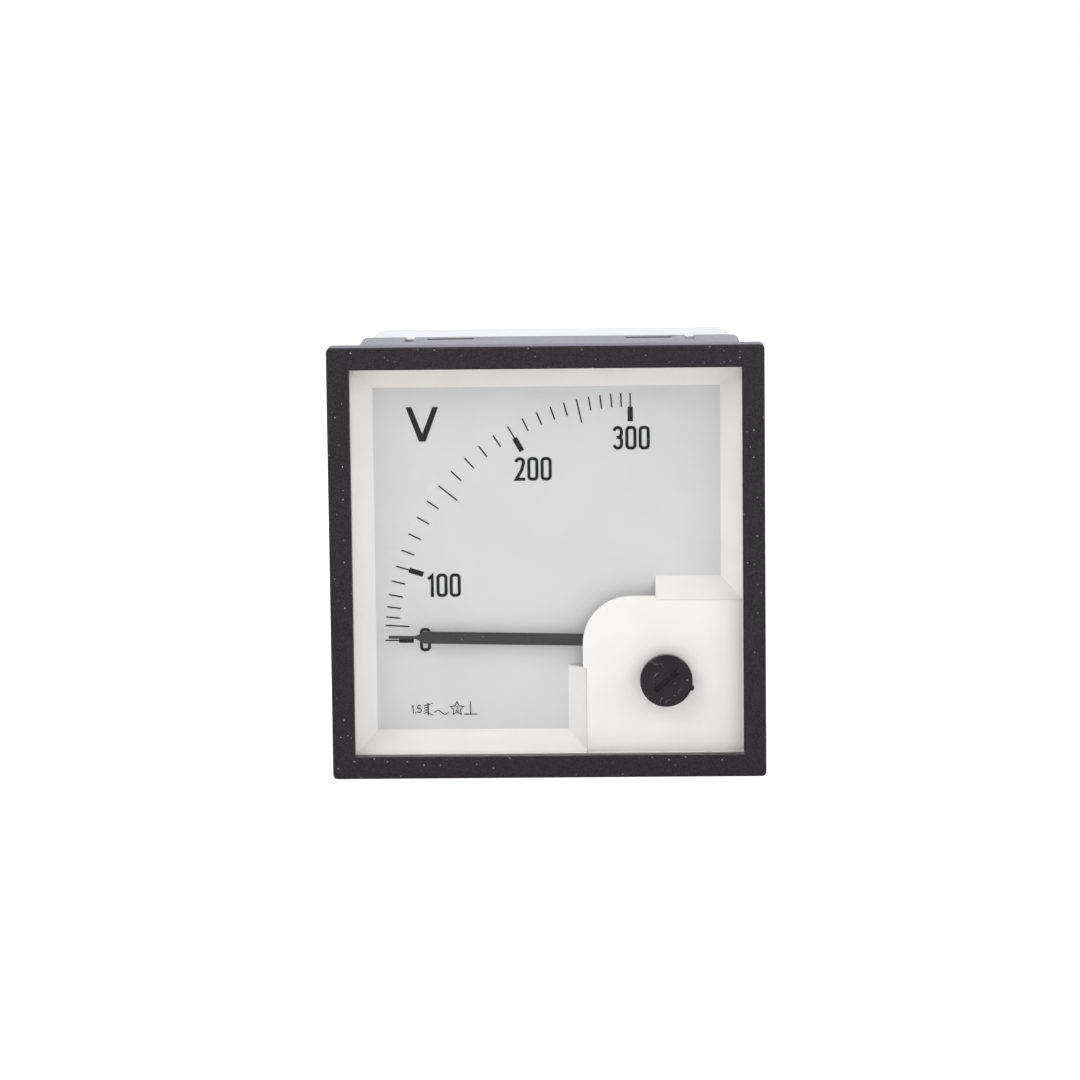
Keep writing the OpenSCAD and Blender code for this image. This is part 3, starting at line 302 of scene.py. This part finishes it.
def rounded_node(node, material_slot, body, width_mm, segments=3, corner_deg=30):
    """The node's own shape with its edges rounded, in place of the node."""
    mesh = frame["nodes"][node].data.copy()
    bm = bmesh.new()
    bm.from_mesh(mesh)
    bmesh.ops.remove_doubles(bm, verts=bm.verts, dist=0.002 * MM)
    bmesh.ops.dissolve_limit(bm, angle_limit=math.radians(0.5), verts=bm.verts, edges=bm.edges)
    for face in bm.faces:
        face.smooth = True
    bm.to_mesh(mesh)
    bm.free()
    obj = add_piece("fine_" + node, mesh, material_slot, body)
    bevel = obj.modifiers.new("edges", "BEVEL")
    bevel.width = width_mm * MM
    bevel.segments = segments
    bevel.limit_method = "ANGLE"
    bevel.angle_limit = math.radians(corner_deg)
    bevel.harden_normals = True
    bevel.use_clamp_overlap = True
    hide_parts(node)


def widen_marks(extra_mm):
    """The scale's marks as the ink lies: each a little wider than its solid."""
    mesh = frame["nodes"]["scale_marks"].data.copy()
    bm = bmesh.new()
    bm.from_mesh(mesh)
    bmesh.ops.remove_doubles(bm, verts=bm.verts, dist=0.0005 * MM)
    left = set(bm.verts)
    while left:
        mark, edge = set(), [next(iter(left))]
        while edge:
            vert = edge.pop()
            if vert not in mark:
                mark.add(vert)
                edge += [e.other_vert(vert) for e in vert.link_edges]
        left -= mark
        centre = sum((Vector((v.co.x, v.co.z)) for v in mark), Vector((0, 0))) / len(mark)
        away = [Vector((v.co.x, v.co.z)) - centre for v in mark]
        angle = 0.5 * math.atan2(2 * sum(a.x * a.y for a in away), sum(a.x ** 2 - a.y ** 2 for a in away))
        across = Vector((-math.sin(angle), math.cos(angle)))
        for vert, out in zip(mark, away):
            side = math.copysign(extra_mm / 2 * MM, out.dot(across))
            vert.co.x += across.x * side
            vert.co.z += across.y * side
    bm.to_mesh(mesh)
    bm.free()
    obj = add_piece("fine_scale_marks", mesh, "print_black", "housing")
    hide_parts("scale_marks")


widen_marks(0.06)
rounded_node("front_bezel", "bezel_black", "housing", 0.18)
rounded_node("zero_adjuster", "adjuster_black", "adjuster", 0.12)
rounded_node("case", "case_black", "housing", 0.25)
rounded_node("rear_cover", "rear_cover_white", "housing", 0.4)


def open_mask():
    """The mask without the thin flange beside the cover, whose edges run on behind the bezel."""
    mesh = frame["nodes"]["dial_mask"].data.copy()
    gap, move, near_enough = 0.05 * MM, 0.26 * MM, 0.01 * MM
    right, bottom = cover_high.x + gap, cover_low.z - gap
    for vert in mesh.vertices:
        if abs(vert.co.x - right) < near_enough:
            vert.co.x = right + move
        if abs(vert.co.z - bottom) < near_enough:
            vert.co.z = bottom - move
    obj = add_piece("fine_dial_mask", mesh, "mask_white", "housing")
    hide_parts("dial_mask")


def add_head_bead():
    """The small round that breaks the front edge of the adjuster's head."""
    low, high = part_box("zero_adjuster")
    axis = Vector(next(j for j in frame["joints"] if j["name"] == "zero_adjust")["pos_m"])
    slot_rim, bead, proud = 0.12 * MM, 0.14 * MM, 0.01 * MM
    centre_r, centre_y = (high.z - low.z) / 2 - bead, low.y + slot_rim + bead
    bm = bmesh.new()
    around, across = 96, 12
    rings = []
    for i in range(around):
        turn = 2 * math.pi * i / around
        ring = []
        for j in range(across):
            tilt = 2 * math.pi * j / across
            r = centre_r + (bead + proud) * math.cos(tilt)
            ring.append(bm.verts.new((axis.x + r * math.cos(turn), centre_y + (bead + proud) * math.sin(tilt),
                                      axis.z + r * math.sin(turn))))
        rings.append(ring)
    for ring, after in zip(rings, rings[1:] + rings[:1]):
        for j in range(across):
            k = (j + 1) % across
            bm.faces.new((ring[j], after[j], after[k], ring[k]))
    bmesh.ops.recalc_face_normals(bm, faces=bm.faces)
    for face in bm.faces:
        face.smooth = True
    mesh = bpy.data.meshes.new("head_bead")
    bm.to_mesh(mesh)
    bm.free()
    add_piece("head_bead", mesh, "adjuster_black", "adjuster")


def add_cover_lip():
    """The cover's soft right and bottom edges, which run on behind the bezel's opening."""
    lap, soft, radius = 0.5 * MM, 1.3 * MM, 6.0 * MM
    step, lift, thin = 0.6 * MM, 0.01 * MM, 0.02 * MM
    steps = 8
    outward = [soft * k / steps for k in range(steps + 1)]
    profile = [(s, radius - math.sqrt(radius ** 2 - s ** 2)) for s in outward]
    depth = profile[-1][1] + thin
    profile += [(soft, depth), (0, depth)]
    inner_x = cover_high.x + lap - soft
    inner_z = cover_low.z - lap + soft
    bm = bmesh.new()
    rows = []
    for along_x, along_z, out_x, out_z in ((inner_x, cover_high.z - step, 1, 0), (inner_x, inner_z, 1, 1),
                                           (cover_low.x + step, inner_z, 0, 1)):
        rows.append([bm.verts.new((along_x + out_x * s, cover_low.y - lift + drop, along_z - out_z * s))
                     for s, drop in profile])
    count = len(profile)
    for upper, lower in zip(rows, rows[1:]):
        for k in range(count):
            j = (k + 1) % count
            bm.faces.new((upper[k], lower[k], lower[j], upper[j]))
    bm.faces.new(rows[0])
    bm.faces.new(rows[-1][::-1])
    bmesh.ops.recalc_face_normals(bm, faces=bm.faces)
    for face in bm.faces:
        face.smooth = True
    mesh = bpy.data.meshes.new("cover_lip")
    bm.to_mesh(mesh)
    bm.free()
    mesh.set_sharp_from_angle(angle=math.radians(30))
    add_piece("cover_lip", mesh, "cover_white", "housing")


open_mask()
add_head_bead()
add_cover_lip()


# ---------------------------------------------------------------- print on the dial
def ribbon(bm, path, width, closed, round_ends):
    """A printed stroke along path: points (x, z) in metres, standing just off the dial."""
    points = [Vector(p) for p in path]
    count = len(points)
    half = width / 2
    left, right = [], []
    for i, point in enumerate(points):
        before = points[i - 1] if i or closed else None
        after = points[(i + 1) % count] if i < count - 1 or closed else None
        a = (point - before).normalized() if before is not None else None
        b = (after - point).normalized() if after is not None else None
        a, b = a or b, b or a
        along = (a + b).normalized()
        reach = half / max(0.45, along.dot(a))
        side = Vector((-along.y, along.x)) * reach
        left.append(point + side)
        right.append(point - side)
    quads = [(left[i], left[(i + 1) % count], right[(i + 1) % count], right[i])
             for i in range(count if closed else count - 1)]
    if round_ends and not closed:
        for end, towards in ((points[0], points[0] - points[1]), (points[-1], points[-1] - points[-2])):
            start = math.atan2(towards.y, towards.x) - math.pi / 2
            quads.append([end + half * Vector((math.cos(start + math.pi * k / 8), math.sin(start + math.pi * k / 8)))
                          for k in range(9)])
    for quad in quads:
        add_plate(bm, quad)


def add_plate(bm, outline):
    front = [bm.verts.new((p[0], mark_y, p[1])) for p in outline]
    back = [bm.verts.new((p[0], dial_y, p[1])) for p in outline]
    area = sum(p[0] * q[1] - q[0] * p[1] for p, q in zip(outline, list(outline[1:]) + [outline[0]]))
    if area > 0:
        front, back = front[::-1], back[::-1]
    # wound so that the front face looks towards the reader
    bm.faces.new(front[::-1])
    for i in range(len(front)):
        j = (i + 1) % len(front)
        bm.faces.new((front[i], front[j], back[j], back[i]))


def arc(cx, cz, r, start, end, steps=10):
    return [(cx + r * math.cos(math.radians(start + (end - start) * k / steps)),
             cz + r * math.sin(math.radians(start + (end - start) * k / steps))) for k in range(steps + 1)]


# Condensed figures: paths in millimetres, from the lower left corner of each
FIGURE_H, STROKE = 3.95, 0.52
HALF = STROKE / 2


def zero_path():
    w, r = 1.85 - STROKE, 0.5
    x0, x1, z0, z1 = HALF, HALF + w, HALF, FIGURE_H - HALF
    return (arc(x1 - r, z1 - r, r, 0, 90, 6) + arc(x0 + r, z1 - r, r, 90, 180, 6)
            + arc(x0 + r, z0 + r, r, 180, 270, 6) + arc(x1 - r, z0 + r, r, 270, 360, 6))


# The advance to the next figure, then the strokes, each with whether it closes on itself
FIGURES = {
    "0": (2.2, [(zero_path(), True)]),
    "1": (1.55, [([(0.2, FIGURE_H - 0.95), (0.85, FIGURE_H - 0.33), (0.85, 0)], False)]),
    "2": (2.15, [(arc(0.92, FIGURE_H - HALF - 0.63, 0.63, 175, -25, 12)
                  + [(1.2, 1.75), (0.3, HALF), (1.8, HALF)], False)]),
    "3": (2.15, [(arc(0.9, FIGURE_H - HALF - 0.6, 0.6, 175, 0, 10)
                  + arc(0.95, 2.62, 0.55, 0, -90, 5) + [(0.68, 2.07)], False),
                 ([(0.68, 2.07)] + arc(0.95, 1.5, 0.57, 90, 0, 5)
                  + arc(0.9, HALF + 0.6, 0.6, 0, -175, 10), False)]),
}


def add_print(name, draw):
    bm = bmesh.new()
    draw(bm)
    mesh = bpy.data.meshes.new(name)
    bm.to_mesh(mesh)
    bm.free()
    add_piece(name, mesh, "print_black", "housing")


def add_number(text, left, bottom):
    """A number whose lower left corner is at (left, bottom), in millimetres on the dial."""
    def draw(bm):
        x = left
        for character in text:
            advance, strokes = FIGURES[character]
            for path, closed in strokes:
                ribbon(bm, [((x + px) * MM, (bottom + pz) * MM) for px, pz in path], STROKE * MM, closed, False)
            x += advance
    add_print("figure_" + text, draw)


add_number("300", 10.9, 18.1)
add_number("200", -5.4, 13.05)
add_number("100", -20.15, -6.35)
add_number("0", -21.5, -15.5)


def draw_volt(bm):
    left, bottom, w, h = -23.3, 19.75, 5.4, 5.75
    foot, bar, apex = 1.1, 0.96, 1.25
    mid = w / 2
    arms = [[(0, h), (bar, h), (mid, apex), (mid, 0), (mid - foot / 2, 0)],
            [(w - bar, h), (w, h), (mid + foot / 2, 0), (mid, 0), (mid, apex)]]
    for arm in arms:
        add_plate(bm, [((left + x) * MM, (bottom + z) * MM) for x, z in arm])


def draw_symbols(bm):
    """Accuracy class, moving-iron movement, alternating current, 2 kV test, upright mounting."""
    thin = 0.16

    def stroke(path, width=thin, closed=False):
        ribbon(bm, [(x * MM, z * MM) for x, z in path], width * MM, closed, True)

    # 1.5
    stroke([(-23.0, -24.95), (-22.8, -24.68), (-22.8, -25.95)], 0.16)
    stroke([(-22.4, -25.95), (-22.4, -25.9)], 0.18)
    stroke([(-21.55, -24.68), (-22.0, -24.68), (-22.05, -25.2)] + arc(-21.8, -25.52, 0.36, 130, -150, 8), 0.16)
    # a coil round an iron bar
    stroke([(-20.3, -24.35), (-20.3, -26.25)], 0.2)
    for z in (-24.65, -25.07, -25.49, -25.91):
        stroke([(-20.95, z - 0.12), (-20.65, z + 0.05), (-20.3, z - 0.04)], 0.13)
    stroke([(-20.3, -24.6), (-19.5, -24.3)], 0.12)
    stroke([(-20.3, -26.0), (-19.5, -26.3)], 0.12)
    # a wave
    stroke([(-19.2 + 2.3 * k / 24, -25.86 + 0.36 * math.sin(2 * math.pi * k / 24)) for k in range(25)], 0.14)
    # a star round a 2
    star = []
    for k in range(10):
        r = 1.2 if k % 2 == 0 else 0.56
        a = math.radians(90 + 36 * k)
        star.append((-15.45 + r * math.cos(a), -25.25 + r * math.sin(a)))
    stroke(star, 0.15, True)
    stroke(arc(-15.45, -25.1, 0.19, 170, -30, 6) + [(-15.66, -25.63), (-15.23, -25.63)], 0.1)
    # upright
    stroke([(-13.2, -24.1), (-13.2, -26.2)], 0.16)
    stroke([(-14.2, -26.2), (-12.15, -26.2)], 0.16)


add_print("unit_V", draw_volt)
add_print("symbols", draw_symbols)


# ---------------------------------------------------------------- studio
ROOM_LIGHT = 0.95
FLOOR_LIGHT = 0.55
FLOOR_SEEN_MORE = 0.05
DIM_ROOM = 0.2
BRIGHT_SHEET = 1.27
SOFTBOX_SIZE = 0.6


def mirror_ray(tree, path):
    """1 for a ray mirrored by a surface, 0 for one that has passed through the window."""
    outside = math_node(tree, "SUBTRACT", 1.0, path.outputs["Is Transmission Ray"])
    return math_node(tree, "MULTIPLY", path.outputs["Is Glossy Ray"], outside)


def add_floor():
    bm = bmesh.new()
    bmesh.ops.create_grid(bm, x_segments=1, y_segments=1, size=3)
    mesh = bpy.data.meshes.new("floor")
    bm.to_mesh(mesh)
    bm.free()
    floor = bpy.data.objects.new("floor", mesh)
    floor.location = (0, 0, floor_z)
    scene.collection.objects.link(floor)
    material, tree, shader, place = new_material("floor_white")
    tone = mix(tree, noise(tree, place, 400, 2), grey(228), grey(232))
    tree.links.new(tone, shader.inputs["Base Color"])
    shader.inputs["Roughness"].default_value = 0.9
    shader.inputs["Emission Color"].default_value = (1, 1, 1, 1)
    # the camera sees the sheet as bright as the room, with only a faint shadow on it
    path = tree.nodes.new("ShaderNodeLightPath")
    tree.links.new(math_node(tree, "MULTIPLY_ADD", path.outputs["Is Camera Ray"], FLOOR_SEEN_MORE, FLOOR_LIGHT),
                   shader.inputs["Emission Strength"])
    # the front mirrors a dim room, not the bright sheet it stands on
    dim = tree.nodes.new("ShaderNodeEmission")
    tree.links.new(tone, dim.inputs["Color"])
    dim.inputs["Strength"].default_value = DIM_ROOM
    blend = tree.nodes.new("ShaderNodeMixShader")
    output = tree.nodes["Material Output"]
    tree.links.new(mirror_ray(tree, path), blend.inputs["Fac"])
    tree.links.new(shader.outputs["BSDF"], blend.inputs[1])
    tree.links.new(dim.outputs["Emission"], blend.inputs[2])
    tree.links.new(blend.outputs["Shader"], output.inputs["Surface"])
    mesh.materials.append(material)


def add_world():
    world = bpy.data.worlds.new("studio")
    scene.world = world
    world.use_nodes = True
    tree = world.node_tree
    tree.nodes.clear()
    place = tree.nodes.new("ShaderNodeTexCoord")
    split = tree.nodes.new("ShaderNodeSeparateXYZ")
    tree.links.new(place.outputs["Generated"], split.inputs["Vector"])
    path = tree.nodes.new("ShaderNodeLightPath")
    output = tree.nodes.new("ShaderNodeOutputWorld")

    def background(colour, strength):
        node = tree.nodes.new("ShaderNodeBackground")
        node.inputs["Color"].default_value = (*colour, 1)
        if isinstance(strength, bpy.types.NodeSocket):
            tree.links.new(strength, node.inputs["Strength"])
        else:
            node.inputs["Strength"].default_value = strength
        return node.outputs["Background"]

    def choose(ray, otherwise, then):
        node = tree.nodes.new("ShaderNodeMixShader")
        tree.links.new(ray, node.inputs["Fac"])
        tree.links.new(otherwise, node.inputs[1])
        tree.links.new(then, node.inputs[2])
        return node.outputs["Shader"]

    # reflections find a bright sheet behind the object and a dim room behind the camera
    depth = tree.nodes.new("ShaderNodeMapRange")
    depth.inputs["From Min"].default_value = -0.3
    depth.inputs["From Max"].default_value = 0.4
    depth.inputs["To Min"].default_value = DIM_ROOM
    depth.inputs["To Max"].default_value = BRIGHT_SHEET
    tree.links.new(split.outputs["Y"], depth.inputs["Value"])
    light = background((1, 1, 1), ROOM_LIGHT)
    mirrored = background((0.97, 0.96, 1.06), depth.outputs["Result"])
    seen = background((1, 1, 1), 1.0)
    room = choose(mirror_ray(tree, path), light, mirrored)
    tree.links.new(choose(path.outputs["Is Camera Ray"], room, seen), output.inputs["Surface"])


def add_softbox(name, place, power):
    """A square lamp that faces the object."""
    data = bpy.data.lights.new(name, "AREA")
    data.shape = "RECTANGLE"
    data.size = data.size_y = SOFTBOX_SIZE
    data.energy = power
    lamp = bpy.data.objects.new(name, data)
    lamp.location = place
    lamp.rotation_euler = (-Vector(place)).to_track_quat("-Z", "Y").to_euler()
    scene.collection.objects.link(lamp)


add_floor()
add_world()
add_softbox("key", (-0.55, -0.5, 0.75), 1.9)
add_softbox("fill", (0.75, -0.55, 0.45), 1.4)

scene.view_settings.view_transform = "Standard"
